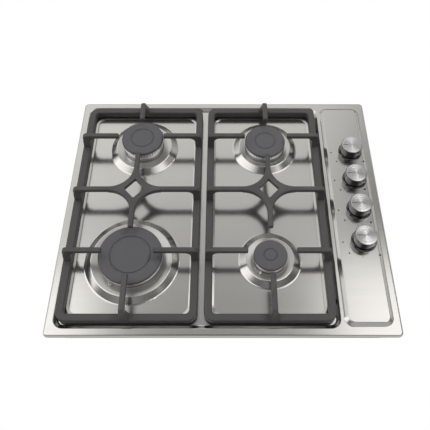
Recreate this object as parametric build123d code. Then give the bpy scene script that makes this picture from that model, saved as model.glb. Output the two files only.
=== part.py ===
from build123d import *
from math import atan2, ceil, cos, pi, radians, sin, tan
import os

# Built-in gas hob, 60 cm class. Millimetres, +X right, +Y back, +Z up.
# The origin is the middle of the hob on the worktop surface, under the seal.

# ---------------------------------------------------------------- top plate
hob_width = 580.0
hob_depth = 500.0
hob_corner = 8.0
sheet = 0.8
rim_top = 8.0
rim_edge_radius = 4.0
rim_width = 13.5
seal_thickness = 1.8
seal_width = 7.0
seal_inset = 1.2
hem_width = 8.0

well_depth = 6.0
well_slope = 6.0
well_corner = 17.0
press_radius = 2.0
well_foot_radius = 4.0
hem_corner = 2.0
seal_corner = 1.0
recess_depth = 1.0
recess_slope = 4.5
recess_inset = 3.2
recess_corner = 18.0

panel_width = 80.5
panel_side_margin = 13.0
panel_end_margin = 16.0
panel_gap = 4.5
panel_rise = 5.0
panel_slope = 6.6
panel_corner = 16.0

boss_rise = 8.0
boss_slope = 12.0
boss_dish = 1.5
boss_foot_radius = 5.0
boss_lip_radius = 3.5
boss_skirt = 7.0

# ------------------------------------------------------------- pan supports
support_margin_left = 3.8
support_margin_right = 7.3
support_margin_end = 9.0
support_gap = 10.7
left_support_width = 230.5
support_corner = 17.0
bar_width = 13.0
bar_height = 11.5
bar_round = 2.6
foot_height = 4.5
foot_radius = 3.4
foot_stem_radius = 2.0
foot_stem_height = 5.0
foot_stem_clearance = 0.1
foot_row = 185.0
pan_height = 43.0
finger_width = 9.2
finger_height = 8.0
finger_round = 2.2
finger_tip_top = 3.0
finger_tip_under = 2.0
shoulder_radius = 7.0
armpit_radius = 11.0
side_arm_lean = 1.6
front_arm_lean = 4.5
rear_arm_lean = 9.5
root_flare = 4.5
root_flare_height = 15.0
star_arc = 43.0
star_hole_x = 18.6
star_hole_y = 21.0
star_hole_corner = 2.0
star_overlap = 1.0
inner_corner = 6.0
foot_chamfer = 0.8
foot_stem_gap = 1.0

# ------------------------------------------------------------------ burners
left_line = -158.5
right_line = 80.8
left_star_line = -160.5
right_star_line = 82.0
rear_row_margin = 115.5
rear_row = hob_depth / 2 - rear_row_margin
front_row = -112.5
cap_thickness = 5.0
cap_round = 2.4
cap_groove_depth = 1.2
cap_groove_half = 1.7
cap_lip_height = 2.5
cap_lip_wall = 2.5
cap_lip_clearance = 0.6
cap_hollow = 1.0
cap_overhang = 1.8
crown_wall = 7.0
crown_base_height = 2.5
chamber_floor = 4.0
slot_pitch = 5.8
slot_width = 1.8
slot_land = 1.0
rim_reach = 1.3
rim_height = 1.5
venturi_bore = 7.0
venturi_wall = 2.0
venturi_length = 13.0
venturi_clearance = 8.0
hole_gap = 1.8
cup_flange = 8.5
cup_wall = 3.0
cup_depth = 14.0
cup_taper = 5.0
column_radius = 10.0
column_length = 13.0
jet_bore = 3.0
jet_clearance = 0.1
jet_hex = 4.4
jet_head = 3.5
jet_orifice = 0.5
jet_stem = 5.0
spigot_radius = 6.0
spigot_reach = 24.0
spigot_drop = 6.0
electrode_offset = 2.8
electrode_land = 2.6
electrode_radius = 2.5
electrode_clearance = 0.6
electrode_tail = 16.0
electrode_stand = 5.0
electrode_chamfer = 0.8
electrode_collar = 1.4
electrode_collar_height = 5.0
pin_radius = 0.9
pin_gap = 3.0
screw_head_radius = 3.4
screw_head_height = 2.4
screw_radius = 2.0
screw_turn = 80.0

BURNERS = {
    "rear_left": dict(
        x=left_line + 1.6, y=rear_row, cap=39.6, base=36.0, foot=66.0, rise=35.0, groove=22.2, slot=8.0, spark=32.0,
        tips=dict(west=45.0, east=41.0, end=40.6, star=40.6),
    ),
    "rear_right": dict(
        x=right_line, y=rear_row, cap=38.6, base=36.0, foot=62.0, rise=26.0, groove=20.0, slot=5.0, spark=32.0,
        tips=dict(west=39.8, east=41.0, end=39.8, star=44.0),
    ),
    "front_left": dict(
        x=left_line - 0.5, y=front_row, cap=55.0, base=50.0, foot=82.4, rise=25.5, groove=34.8, slot=5.0, spark=237.0,
        tips=dict(west=46.0, east=41.0, end=43.5, star=44.0),
    ),
    "front_right": dict(
        x=right_line, y=front_row, cap=29.0, base=25.5, foot=54.0, rise=24.0, groove=11.8, slot=5.0, spark=237.0,
        tips=dict(west=38.7, east=43.0, end=41.0, star=44.0),
    ),
}

# ------------------------------------------------------- knobs and gas taps
knob_line = 247.0
knob_middle = 20.0
knob_pitch = 66.0
knob_radius = 20.0
knob_height = 17.6
knob_wall = 1.6
knob_round = 0.8
knob_top_thickness = 1.2
knob_top_inset = 0.9
knob_hub_radius = 5.5
knob_web = 2.0
knob_hub_gap = 1.0
spindle_gap = 0.5
push_travel = 3.0
push_clearance = 0.4
bezel_height = 3.0
bezel_wall = 1.7
bezel_clearance = 0.6
bezel_chamfer = 0.6
spindle_radius = 3.0
spindle_clearance = 0.05
spindle_flat = 2.2
spindle_hole = 5.0
tap_top = -4.0
tap_height = 18.0
tap_radius = 9.5
plug_radius = 6.5
plug_height = 9.0
plug_clearance = 0.05
plug_end_gap = 0.3
plug_socket = 5.0
plug_cover = 2.5
plug_port = 1.5
tap_foot_chamfer = 1.0
tap_head_drop = 3.0
tap_head_inset = 2.0
tap_outlet_drop = 11.0
tap_outlet_radius = 5.0
tap_outlet_reach = 26.0
tap_nut_size = 7.0
tap_nut_length = 8.0
switch_length = 20.0
switch_width = 12.0
switch_height = 9.0
switch_overlap = 5.0
switch_corner = 1.0
switch_hole_gap = 2.0

manifold_radius = 7.5
manifold_line = 265.0
manifold_wall = 1.5
manifold_front = 20.0
manifold_end_gap = 14.0
inlet_line = 257.0
inlet_row = 207.0
inlet_thread_radius = 10.48
inlet_thread_length = 19.0
inlet_neck_radius = 9.6
inlet_neck_length = 1.0
inlet_bore = 6.5
inlet_body_radius = 13.0
inlet_body_height = 20.0
inlet_chamfer = 3.0
inlet_bore_over = 4.0
inlet_hole_gap = 0.3
tube_radius = 4.0
tube_bore = 3.0
tube_bend = 22.0
tube_lead = 26.4
tube_fall = 0.5

# ----------------------------------------------------- base pan and fixings
pan_width = 552.0
pan_depth = 472.0
pan_floor = -46.0
pan_corner = 10.0
pan_flange = 11.0
pan_edge_radius = 4.0
pan_inner_corner = 3.0
pan_notch_x = 240.0
pan_notch_y = 184.0
pan_notch_rise = 22.0
pan_slot_length = 34.0
pan_slot_width = 3.4
pan_slot_pitch = 11.0
pan_slot_count = 5
pan_slot_place = 0.45
rail_width = 34.0
rail_lip = 9.0
rail_sheet = 1.0
rail_end_left = 6.0
rail_end_right = 196.0
bracket_width = 16.0
bracket_head = 14.0
bracket_sheet = 1.2
clamp_row = 150.0
clamp_width = 24.0
clamp_sheet = 1.5
clamp_reach = 13.0
clamp_grip = 31.0
clamp_tab = 24.0
clamp_screw_drop = 9.0
clamp_head_height = 2.0
clamp_head_radius = 4.0
clamp_hole_gap = 0.1

module_size = (74.0, 46.0, 24.0)
module_place = (-30.0, 20.0)
module_round = 2.0
module_post_radius = 4.0
module_post_height = 7.0
module_post_pitch = 14.8
module_post_count = 4
block_size = (34.0, 20.0, 16.0)
block_place = (190.0, 205.0)
block_screw_radius = 2.5
block_screw_depth = 4.0
block_screw_count = 3
gland_radius = 9.0
gland_bore = 4.0
gland_collar = 12.0
gland_length = 14.0
gland_x = 190.0
gland_z = -26.0
gland_collar_length = 3.0
gland_clearance = 0.2

# ------------------------------------------------------------ derived places
form_low = -3.0
cut_over = 1.0
well_x0 = -hob_width / 2 + rim_width
panel_x1 = hob_width / 2 - panel_side_margin
panel_x0 = panel_x1 - panel_width
well_x1 = panel_x0 - panel_gap
well_y1 = hob_depth / 2 - rim_width
panel_y1 = hob_depth / 2 - panel_end_margin
floor_z = rim_top - well_depth
recess_z = floor_z - recess_depth
boss_z = recess_z + boss_rise
panel_z = rim_top + panel_rise
seat_z = boss_z - boss_dish - sheet
bar_low = floor_z + foot_height
bar_top = bar_low + bar_height
pan_top_z = floor_z + pan_height
support_y1 = well_y1 - support_margin_end
LEFT_FRAME = (well_x0 + support_margin_left, well_x0 + support_margin_left + left_support_width)
RIGHT_FRAME = (LEFT_FRAME[1] + support_gap, well_x1 - support_margin_right)
star_y = (rear_row + front_row) / 2
column_low = seat_z - cup_wall - cup_depth - cup_taper - column_length
pan_inner_floor = pan_floor + sheet
knob_low = panel_z + push_travel + push_clearance
knob_top_z = knob_low + knob_height
KNOB_ROWS = [knob_middle + (1.5 - i) * knob_pitch for i in range(4)]
BURNER_OF_KNOB = ["rear_right", "rear_left", "front_left", "front_right"]
pipe_z = column_low + spigot_drop
tap_low = tap_top - tap_height
tap_outlet_z = pipe_z
manifold_z = tap_top - tap_height / 2
plug_low = tap_top - plug_height - plug_cover


def outline(x0, x1, y0, y1, corner, z):
    """A rounded rectangle between two corners, at height z."""
    return Pos((x0 + x1) / 2, (y0 + y1) / 2, z) * RectangleRounded(x1 - x0, y1 - y0, corner)


def prism(x0, x1, y0, y1, corner, z0, z1):
    """An upright block with rounded corners in plan."""
    return extrude(outline(x0, x1, y0, y1, corner, z0), z1 - z0)


def taper(x0, x1, y0, y1, corner, z0, z1, grow):
    """A block whose plan grows by grow on each side from z0 to z1."""
    low = outline(x0, x1, y0, y1, corner, z0)
    high = outline(x0 - grow, x1 + grow, y0 - grow, y1 + grow, max(corner + grow, 1.0), z1)
    return loft([low.face(), high.face()], ruled=True)


def turned(points, x=0.0, y=0.0):
    """A solid of revolution about an upright axis at x, y from (radius, height) points."""
    profile = make_face(Polyline([(r, 0, z) for r, z in points], close=True))
    return Pos(x, y, 0) * revolve(profile, Axis.Z)


def rod(x, y, z, radius, length, direction):
    """A round bar from x, y, z along a direction."""
    return extrude(Plane((x, y, z), z_dir=direction) * Circle(radius), length)


def polar(x, y, radius, degrees):
    """A point on a circle round x, y."""
    return x + radius * cos(radians(degrees)), y + radius * sin(radians(degrees))


def skin_shift(run, rise, inset):
    """How far a sloped wall's corners move sideways when the skin moves in."""
    return inset * tan(atan2(rise, run) / 2)


# ------------------------------------------------------------------ the plate
def boss_form(burner, inset):
    """The raised round seat of one burner, down to the form's underside."""
    shift = skin_shift(boss_slope, boss_rise, inset)
    foot = burner["foot"] - shift
    top = foot - boss_slope
    hole = burner["base"] + hole_gap
    points = [
        (foot + boss_skirt, recess_z - inset),
        (foot, recess_z - inset),
        (top, boss_z - inset),
        (hole + 2 * boss_dish, boss_z - boss_dish - inset),
        (0, boss_z - boss_dish - inset),
    ]
    skin = FilletPolyline(
        [(r, 0, z) for r, z in points],
        radius=[boss_foot_radius + inset, boss_lip_radius - inset, boss_lip_radius],
    )
    sides = Polyline(
        [(0, 0, points[-1][1]), (0, 0, form_low), (foot + boss_skirt, 0, form_low), (points[0][0], 0, points[0][1])]
    )
    profile = make_face(skin.edges() + sides.edges())
    return Pos(burner["x"], burner["y"], 0) * revolve(profile, Axis.Z)


def soften(block, z, radius, x0, x1, y1):
    """Rounds the level edges at height z that lie in a field about the X axis."""
    level = 1e-4

    def in_field(edge):
        box = edge.bounding_box()
        flat = abs(box.min.Z - z) < level and abs(box.max.Z - z) < level
        return flat and box.min.X > x0 and box.max.X < x1 and box.min.Y > -y1 and box.max.Y < y1

    return fillet(block.edges().filter_by(in_field), radius)


def recess_form(frame, inset):
    """The shallow pressed field under one pan support."""
    shift = skin_shift(recess_slope, recess_depth, inset)
    edge = bar_width + recess_inset - shift
    return taper(
        frame[0] + edge, frame[1] - edge, -support_y1 + edge, support_y1 - edge,
        recess_corner, recess_z - inset, floor_z - inset, recess_slope,
    )


def pressed_form(inset):
    """All that lies under the plate's skin, with the skin moved in by inset."""
    half_x = hob_width / 2 - inset
    half_y = hob_depth / 2 - inset
    top = rim_top - inset
    block = prism(-half_x, half_x, -half_y, half_y, hob_corner - inset, form_low, top)
    block = fillet(block.edges().group_by(Axis.Z)[-1], rim_edge_radius - inset)
    shift = skin_shift(well_slope, well_depth, inset)
    block -= taper(
        well_x0 + well_slope - shift, well_x1 - well_slope + shift,
        -well_y1 + well_slope - shift, well_y1 - well_slope + shift,
        well_corner - well_slope, floor_z - inset, top, well_slope,
    )
    near = press_radius
    block = soften(block, floor_z - inset, well_foot_radius + inset, well_x0, well_x1, well_y1)
    block = soften(block, top, press_radius - inset, well_x0 - near, well_x1 + near, well_y1 + near)
    shift = skin_shift(panel_slope, panel_rise, inset)
    block += taper(
        panel_x0 + shift, panel_x1 - shift, -panel_y1 + shift, panel_y1 - shift,
        panel_corner, top, panel_z - inset, -panel_slope,
    )
    block = soften(block, panel_z - inset, press_radius - inset, panel_x0, panel_x1, panel_y1)
    block = soften(block, top, press_radius + inset, panel_x0 - near, panel_x1 + near, panel_y1 + near)
    for frame in (LEFT_FRAME, RIGHT_FRAME):
        block -= recess_form(frame, inset)
        field = (frame[0] + bar_width / 2, frame[1] - bar_width / 2, support_y1 - bar_width / 2)
        block = soften(block, recess_z - inset, press_radius + inset, *field)
        block = soften(block, floor_z - inset, press_radius - inset, *field)
    for burner in BURNERS.values():
        block += boss_form(burner, inset)
    return block


def electrode_place(burner):
    """Where a burner's spark electrode stands."""
    return polar(burner["x"], burner["y"], burner["cap"] + electrode_offset, burner["spark"])


def top_plate():
    """The pressed stainless plate with its turned-under hem."""
    plate = pressed_form(0.0) - pressed_form(sheet)
    half_x = hob_width / 2
    half_y = hob_depth / 2
    keep = sheet + hem_width
    around = prism(-half_x, half_x, -half_y, half_y, hob_corner, form_low, seal_thickness)
    inside = prism(-half_x + keep, half_x - keep, -half_y + keep, half_y - keep, hem_corner, form_low, seal_thickness)
    plate -= around - inside
    hem = prism(
        -half_x + sheet, half_x - sheet, -half_y + sheet, half_y - sheet,
        hob_corner - sheet, seal_thickness, seal_thickness + sheet,
    )
    hem -= prism(-half_x + keep, half_x - keep, -half_y + keep, half_y - keep, hem_corner, seal_thickness, rim_top)
    plate += hem
    for burner in BURNERS.values():
        hole = burner["base"] + hole_gap
        plate -= rod(burner["x"], burner["y"], form_low, hole, rim_top + boss_rise, (0, 0, 1))
        spark_x, spark_y = electrode_place(burner)
        spark_hole = electrode_radius + electrode_clearance
        plate -= rod(spark_x, spark_y, form_low, spark_hole, rim_top + boss_rise, (0, 0, 1))
    for row in KNOB_ROWS:
        plate -= rod(knob_line, row, form_low, spindle_hole, panel_z - form_low + cut_over, (0, 0, 1))
    return plate


def worktop_seal():
    """The foam strip under the hem."""
    x1 = hob_width / 2 - seal_inset
    y1 = hob_depth / 2 - seal_inset
    outer = prism(-x1, x1, -y1, y1, hob_corner - seal_inset, 0.0, seal_thickness)
    x2 = x1 - seal_width
    y2 = y1 - seal_width
    return outer - prism(-x2, x2, -y2, y2, seal_corner, 0.0, seal_thickness)


# --------------------------------------------------------------- pan supports
def arm_profile(reach, lean):
    """Side view of one arm: leg, shoulder, finger and tip. It starts at the frame's outer face."""
    low = bar_top - bar_round
    under = pan_top_z - finger_height
    inner = bar_width + lean / 2
    corners = [(0, low), (lean, pan_top_z), (reach, pan_top_z), (reach, under), (inner, under), (bar_width, low)]
    line = FilletPolyline(corners, radius=[shoulder_radius, finger_tip_top, finger_tip_under, armpit_radius])
    return line + Line(corners[-1], corners[0])


def root(x, y, along):
    """The flared root of an arm on the frame bar."""
    side = Plane((x, y, 0), x_dir=Vector(*along).cross(Vector(0, 0, -1)), z_dir=along)
    half = finger_width / 2
    low = bar_top - bar_round
    high = bar_top + root_flare_height
    flank = half + root_flare
    outline_points = [(-flank, low), (flank, low), (half, high), (-half, high)]
    return extrude(side * make_face(Polyline(outline_points, close=True)), bar_width)


def arm(x, y, along, reach, lean):
    """One arm that rises from the frame's outer face at x, y and runs inward."""
    side = Plane((x, y, 0), x_dir=along, z_dir=Vector(*along).cross(Vector(0, 0, 1)))
    profile = make_face(arm_profile(reach, lean).edges())
    solid = extrude(side * profile, finger_width / 2, both=True)
    upper = solid.edges().filter_by(lambda e: e.center().Z > bar_top + shoulder_radius)
    long_edges = upper.filter_by(lambda e: abs(e.tangent_at(0.5).cross(Vector(*along)).Z) < 0.02)
    sides = long_edges.filter_by(lambda e: e.center().Z > pan_top_z - finger_height + finger_round / 2)
    solid = fillet(sides, finger_round)
    leg = root(x, y, along) & extrude(side * profile, finger_width / 2 + root_flare, both=True)
    return solid + leg


def star(x):
    """The four-way middle piece: concave flanks round a diamond opening."""
    half = finger_width / 2
    far = half + star_arc
    corner = star_arc * (1 - cos(pi / 4)) + half
    quarter = []
    for turn in range(4):
        start = Vector(far, half).rotate(Axis.Z, 90 * turn)
        middle = Vector(corner, corner).rotate(Axis.Z, 90 * turn)
        end = Vector(half, far).rotate(Axis.Z, 90 * turn)
        after = Vector(-half, far).rotate(Axis.Z, 90 * turn)
        quarter += ThreePointArc(start, middle, end).edges()
        quarter += Line(end, after).edges()
    flat = make_face(quarter)
    points = [(star_hole_x, 0), (0, star_hole_y), (-star_hole_x, 0), (0, -star_hole_y)]
    diamond = make_face(Polyline(points, close=True))
    diamond = fillet(diamond.vertices(), star_hole_corner)
    solid = extrude(Pos(x, star_y, pan_top_z - finger_height) * (flat - diamond), finger_height)
    arcs = solid.edges().group_by(Axis.Z)[-1].filter_by(GeomType.CIRCLE)
    arcs = arcs.filter_by(lambda e: e.radius > star_hole_corner * 2)
    return fillet(arcs, finger_round)


def finger(x0, y0, x1, y1):
    """A finger with a rounded tip at its far end."""
    length = ((x1 - x0) ** 2 + (y1 - y0) ** 2) ** 0.5
    along = ((x1 - x0) / length, (y1 - y0) / length, 0)
    side = Plane((x0, y0, 0), x_dir=along, z_dir=Vector(*along).cross(Vector(0, 0, 1)))
    under = pan_top_z - finger_height
    corners = [(0, pan_top_z), (length, pan_top_z), (length, under), (0, under)]
    line = FilletPolyline(corners, radius=[finger_tip_top, finger_tip_under])
    line += Line(corners[-1], corners[0])
    solid = extrude(side * make_face(line.edges()), finger_width / 2, both=True)
    top = solid.edges().group_by(Axis.Z)[-1].filter_by(lambda e: e.length > finger_width * 1.5)
    return fillet(top, finger_round)


def foot_places(frame):
    """Centres of the four rubber feet of a pan support."""
    middle = bar_width / 2
    xs = (frame[0] + middle, frame[1] - middle)
    return [(x, y) for x in xs for y in (-foot_row, foot_row)]


def pan_frame(frame):
    """The low frame of a pan support: four bars and four bends, with sockets for its feet."""
    x0, x1 = frame
    y1 = support_y1
    ring = prism(x0, x1, -y1, y1, support_corner, bar_low, bar_top)
    ring -= prism(
        x0 + bar_width, x1 - bar_width, -y1 + bar_width, y1 - bar_width, inner_corner, bar_low, bar_top,
    )
    ring = fillet(ring.edges().group_by(Axis.Z)[-1], bar_round)
    for x, y in foot_places(frame):
        ring -= rod(x, y, bar_low, foot_stem_radius + foot_stem_clearance, foot_stem_height, (0, 0, 1))
    bend = bar_width + inner_corner
    block = Box(bend, bend, bar_top - bar_low, align=(Align.CENTER, Align.CENTER, Align.MIN))
    xs = (x0 + bend / 2, x1 - bend / 2)
    ys = (-y1 + bend / 2, y1 - bend / 2)
    corners = Compound([Pos(x, y, bar_low) * block for x in xs for y in ys])
    return Compound([*(ring - corners).solids(), *(ring & corners).solids()])


def pan_arms(frame, line, rear, front):
    """The raised arms that stand on a frame: six single ones and the star with its four."""
    x0, x1 = frame
    y1 = support_y1
    near_star = star_arc + finger_width / 2 - star_overlap
    arms = []
    for burner in (rear, front):
        tips = burner["tips"]
        arms.append(arm(x0, burner["y"], (1, 0, 0), burner["x"] - tips["west"] - x0, side_arm_lean))
        arms.append(arm(x1, burner["y"], (-1, 0, 0), x1 - burner["x"] - tips["east"], side_arm_lean))
    arms.append(arm(line, y1, (0, -1, 0), y1 - rear["y"] - rear["tips"]["end"], rear_arm_lean))
    arms.append(arm(line, -y1, (0, 1, 0), y1 + front["y"] - front["tips"]["end"], front_arm_lean))
    middle = star(line)
    middle += arm(x0, star_y, (1, 0, 0), line - near_star - x0, side_arm_lean)
    middle += arm(x1, star_y, (-1, 0, 0), x1 - line - near_star, side_arm_lean)
    middle += finger(line, star_y + near_star, line, rear["y"] - rear["tips"]["star"])
    middle += finger(line, star_y - near_star, line, front["y"] + front["tips"]["star"])
    arms.append(middle)
    bars = pan_frame(frame)
    return Compound([(each - bars).solid() for each in arms])


def support_feet(frame):
    """Four rubber buttons with stems that plug into the frame."""
    feet = []
    for x, y in foot_places(frame):
        stem_top = bar_low + foot_stem_height - foot_stem_gap
        button = turned(
            [
                (0, floor_z), (foot_radius - foot_chamfer, floor_z), (foot_radius, floor_z + foot_chamfer),
                (foot_radius, bar_low), (foot_stem_radius, bar_low), (foot_stem_radius, stem_top), (0, stem_top),
            ],
            x, y,
        )
        feet.append(button)
    return Compound(feet)


# -------------------------------------------------------------------- burners
def burner_cup(burner):
    """The cast cup under the plate: seat, bowl, jet column and gas spigot."""
    flange = burner["cap"] + electrode_offset + electrode_radius + electrode_land
    bowl = venturi_bore + venturi_wall + venturi_clearance
    low = seat_z - cup_wall
    bowl_low = low - cup_depth
    column_top = bowl_low - cup_taper
    inner_floor = column_top + cup_wall
    cup = turned(
        [
            (bowl, seat_z), (flange, seat_z), (flange, low), (bowl + cup_wall, low),
            (bowl + cup_wall, bowl_low), (column_radius, column_top), (column_radius, column_low),
            (0, column_low), (0, inner_floor), (column_radius - cup_wall, inner_floor), (bowl, bowl_low + cup_wall),
        ],
        burner["x"], burner["y"],
    )
    spigot = rod(burner["x"], burner["y"], pipe_z, spigot_radius, spigot_reach, (1, 0, 0))
    cup += spigot
    cup -= rod(burner["x"], burner["y"], pipe_z, tube_bore, spigot_reach, (1, 0, 0))
    cup -= rod(burner["x"], burner["y"], pipe_z, jet_bore, inner_floor - pipe_z, (0, 0, 1))
    spark_x, spark_y = electrode_place(burner)
    cup -= rod(spark_x, spark_y, low - cut_over, electrode_radius + electrode_clearance / 2, cup_wall + 2 * cut_over, (0, 0, 1))
    for x, y in screw_places(burner):
        cup -= rod(x, y, low - cut_over, screw_radius + jet_clearance, cup_wall + 2 * cut_over, (0, 0, 1))
    return cup


def screw_places(burner):
    """Two screws hold each cup to the plate."""
    ring = burner["base"] + hole_gap + cup_flange / 2
    return [polar(burner["x"], burner["y"], ring, burner["spark"] + turn) for turn in (screw_turn, screw_turn + 180.0)]


def burner_screws():
    """Screws that hold the cups up against the plate."""
    screws = []
    for burner in BURNERS.values():
        for x, y in screw_places(burner):
            low = seat_z - cup_wall
            head = rod(x, y, low - screw_head_height, screw_head_radius, screw_head_height, (0, 0, 1))
            screws.append(head + rod(x, y, low, screw_radius, cup_wall, (0, 0, 1)))
    return Compound(screws)


def injector(burner):
    """The brass gas jet on the cup's column."""
    base = seat_z - cup_wall - cup_depth - cup_taper + cup_wall
    x, y = burner["x"], burner["y"]
    head = extrude(Pos(x, y, base) * RegularPolygon(jet_hex, 6), jet_head)
    jet = head + rod(x, y, base - jet_stem, jet_bore - jet_clearance, jet_stem, (0, 0, 1))
    return jet - rod(x, y, base - jet_stem, jet_orifice, jet_stem + jet_head, (0, 0, 1))


def crown_top(burner):
    """Height of the face that carries the cap."""
    return recess_z + burner["rise"] - cap_thickness


def flame_spreader(burner):
    """The aluminium spreader: venturi, tapered body and a crown of flame slots."""
    base = burner["base"]
    crown = burner["cap"] - cap_overhang
    top = crown_top(burner)
    venturi = venturi_bore + venturi_wall
    chamber = seat_z + chamber_floor
    slot_height = burner["slot"]
    neck = top - slot_height - slot_land
    body = turned(
        [
            (venturi_bore, seat_z - venturi_length), (venturi, seat_z - venturi_length), (venturi, seat_z),
            (base, seat_z), (base, seat_z + crown_base_height), (crown, neck - rim_height),
            (crown + rim_reach, neck - rim_height), (crown + rim_reach, neck), (crown, neck), (crown, top),
            (crown - crown_wall, top), (crown - crown_wall, chamber), (venturi_bore, chamber),
        ],
    )
    count = int(ceil(2 * pi * crown / slot_pitch / 4) * 4)
    slot = Pos(crown - crown_wall / 2, 0, top - slot_height / 2) * Box(crown_wall * 1.4, slot_width, slot_height)
    slots = [Rot(0, 0, 360.0 * i / count) * slot for i in range(count)]
    return Pos(burner["x"], burner["y"], 0) * body.cut(*slots)


def burner_cap(burner):
    """The enamelled cap with a round groove on top and a locating lip beneath."""
    radius = burner["cap"]
    low = crown_top(burner)
    top = low + cap_thickness
    lip = radius - cap_overhang - crown_wall - cap_lip_clearance
    groove = burner["groove"]
    points = [
        (0, low + cap_hollow), (lip - cap_lip_wall, low + cap_hollow), (lip - cap_lip_wall, low - cap_lip_height),
        (lip, low - cap_lip_height), (lip, low), (radius, low), (radius, top),
        (groove + cap_groove_half, top), (groove, top - cap_groove_depth), (groove - cap_groove_half, top), (0, top),
    ]
    profile = make_face(Polyline([(r, 0, z) for r, z in points], close=True))
    rim = profile.vertices().filter_by(lambda v: abs(v.X - radius) < 0.01 and abs(v.Z - top) < 0.01)
    profile = fillet(rim, cap_round)
    return Pos(burner["x"], burner["y"], 0) * revolve(profile, Axis.Z)


def spark_electrode(burner):
    """A ceramic rod with a steel pin beside the spreader."""
    x, y = electrode_place(burner)
    low = seat_z - cup_wall
    stand = seat_z + electrode_stand
    tip = crown_top(burner) - pin_gap
    collar = electrode_radius + electrode_collar
    collar_low = low - electrode_collar_height
    return turned(
        [
            (0, low - electrode_tail), (electrode_radius, low - electrode_tail),
            (electrode_radius, collar_low - electrode_collar), (collar, collar_low), (collar, low),
            (electrode_radius, low), (electrode_radius, stand - electrode_chamfer),
            (electrode_radius - electrode_chamfer, stand), (pin_radius, stand), (pin_radius, tip), (0, tip),
        ],
        x, y,
    )


# ------------------------------------------------------------- knobs and taps
def knob(row):
    """A chromed knob shell with its hub."""
    low = knob_low
    high = knob_top_z - knob_top_thickness
    inner = knob_radius - knob_wall
    hub_low = low + knob_hub_gap
    web = high - knob_web
    shell = turned(
        [
            (inner, low), (knob_radius, low), (knob_radius, knob_top_z - knob_round),
            (knob_radius - knob_round, knob_top_z), (knob_radius - knob_top_inset, knob_top_z),
            (knob_radius - knob_top_inset, high), (0, high), (0, web), (inner, web),
        ],
        knob_line, row,
    )
    hub = rod(knob_line, row, hub_low, knob_hub_radius, web - hub_low, (0, 0, 1))
    hub -= spindle_bar(row, hub_low - cut_over, web - knob_web, spindle_radius + spindle_clearance)
    return shell + hub


def knob_top(row):
    """The brushed disc let into the knob's face."""
    low = knob_top_z - knob_top_thickness
    return rod(knob_line, row, low, knob_radius - knob_top_inset, knob_top_thickness, (0, 0, 1))


def knob_bezels():
    """Rings on the panel that the knobs sink into when pushed."""
    inner = knob_radius + bezel_clearance
    outer = inner + bezel_wall
    high = panel_z + bezel_height
    rings = []
    for row in KNOB_ROWS:
        rings.append(
            turned([(inner, panel_z), (outer + bezel_chamfer, panel_z), (outer, high - bezel_chamfer),
                    (outer - bezel_chamfer, high), (inner, high)], knob_line, row)
        )
    return Compound(rings)


def spindle_bar(row, low, high, radius):
    """A round bar with one flat, as the spindle and its sockets share."""
    bar = rod(knob_line, row, low, radius, high - low, (0, 0, 1))
    cutter = Pos(knob_line + spindle_flat + radius, row, (low + high) / 2)
    return bar - cutter * Box(2 * radius, 4 * radius, high - low)


def tap_spindle(row):
    """The spindle that joins a knob to its tap."""
    low = plug_low + plug_height - plug_socket + push_travel + spindle_gap
    high = knob_top_z - knob_top_thickness - 2 * knob_web - spindle_gap
    return spindle_bar(row, low, high, spindle_radius)


def tap_plug(row):
    """The turning plug inside a tap, with the socket the spindle slides in."""
    body = rod(knob_line, row, plug_low, plug_radius, plug_height, (0, 0, 1))
    body -= spindle_bar(
        row, plug_low + plug_height - plug_socket - cut_over, plug_low + plug_height, spindle_radius + spindle_clearance
    )
    port = rod(knob_line, row, plug_low + plug_height / 4, plug_port, plug_radius + cut_over, (-1, 0, 0))
    return body - port


def tap_body(row):
    """A brass gas tap: column, plug bore, outlet with its nut."""
    body = turned(
        [
            (0, tap_low), (tap_radius - tap_foot_chamfer, tap_low), (tap_radius, tap_low + tap_foot_chamfer),
            (tap_radius, tap_top - tap_head_drop), (tap_radius - tap_head_inset, tap_top), (0, tap_top),
        ],
        knob_line, row,
    )
    body += rod(knob_line, row, tap_outlet_z, tap_outlet_radius, tap_outlet_reach, (-1, 0, 0))
    nut = Plane((knob_line - tap_outlet_reach + tap_nut_length, row, tap_outlet_z), z_dir=(-1, 0, 0))
    body += extrude(nut * RegularPolygon(tap_nut_size, 6), tap_nut_length)
    body -= rod(knob_line, row, tap_outlet_z, tube_bore, tap_outlet_reach, (-1, 0, 0))
    body -= rod(
        knob_line, row, plug_low - plug_end_gap, plug_radius + plug_clearance, plug_height + 2 * plug_end_gap, (0, 0, 1)
    )
    body -= rod(knob_line, row, plug_low, spindle_radius + spindle_clearance, tap_top - plug_low + cut_over, (0, 0, 1))
    return body


def ignition_switches():
    """One snap switch beside each spindle, on top of its tap."""
    cases = []
    for row in KNOB_ROWS:
        place = Pos(knob_line - tap_radius - switch_width / 2 + switch_overlap, row, tap_top + switch_height / 2)
        case = place * Box(switch_width, switch_length, switch_height)
        case = fillet(case.edges().filter_by(Axis.Z), switch_corner)
        cases.append(case - rod(knob_line, row, tap_top, spindle_radius + switch_hole_gap, switch_height, (0, 0, 1)))
    return Compound(cases)


def gas_tube(row, burner):
    """The aluminium pipe from one tap to its burner."""
    start = Vector(knob_line - tap_outlet_reach, row, pipe_z)
    end = Vector(burner["x"] + spigot_reach, burner["y"], pipe_z)
    lead = abs(burner["y"] - row) * tube_fall + tube_lead
    knee = Vector(end.X + tube_lead, burner["y"], pipe_z)
    hip = Vector(end.X + tube_lead + lead, row, pipe_z)
    path = FilletPolyline(start, hip, knee, end, radius=tube_bend)
    ring = Plane(start, z_dir=(-1, 0, 0)) * (Circle(tube_radius) - Circle(tube_bore))
    return sweep(ring, path)


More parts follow.
